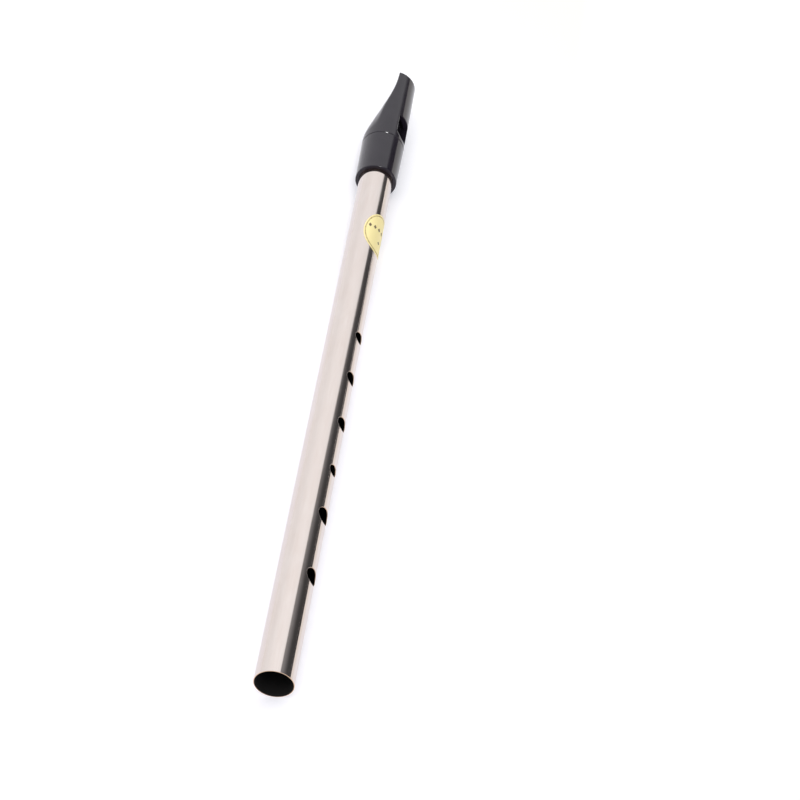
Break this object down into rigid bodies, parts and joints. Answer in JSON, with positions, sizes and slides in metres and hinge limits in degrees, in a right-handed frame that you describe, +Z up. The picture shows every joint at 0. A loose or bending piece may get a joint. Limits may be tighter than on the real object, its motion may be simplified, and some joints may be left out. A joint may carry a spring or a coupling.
{
  "type": "tin whistle",
  "caption": "Tin whistle in C: straight thin metal tube with finger holes and an oval foil label, and a glossy black moulded mouthpiece head that slides on the tube to tune it.",
  "frame": {"origin": "centre of the tube's open end, on the axis of the bore", "axes": "+Y along the bore from the open end to the mouthpiece; +Z up from the surface the whistle lies on; the finger holes and the window point 67 degrees from +Z towards +X, as the whistle lies"},
  "size_m": [0.0176, 0.3275, 0.0176],
  "materials": {
    "plated_tube": "nickel-plated brass, bright, with bare brass on the cut edges of the holes and ends",
    "gold_foil": "printed gold foil with a darker line inside its edge",
    "head_plastic": "glossy black moulded plastic",
    "block_plastic": "black moulded plastic, slightly less glossy than the head"
  },
  "bodies": {
    "tube": {"tube": "plated_tube", "foil_label": "gold_foil"},
    "head": {"head_sleeve": "head_plastic", "beak": "head_plastic", "fipple_block": "block_plastic"}
  },
  "joints": [
    {"name": "tuning_slide", "type": "slide", "parent": "tube", "child": "head", "axis": [0, 1, 0], "range_m": [0, 0.01]}
  ]
}
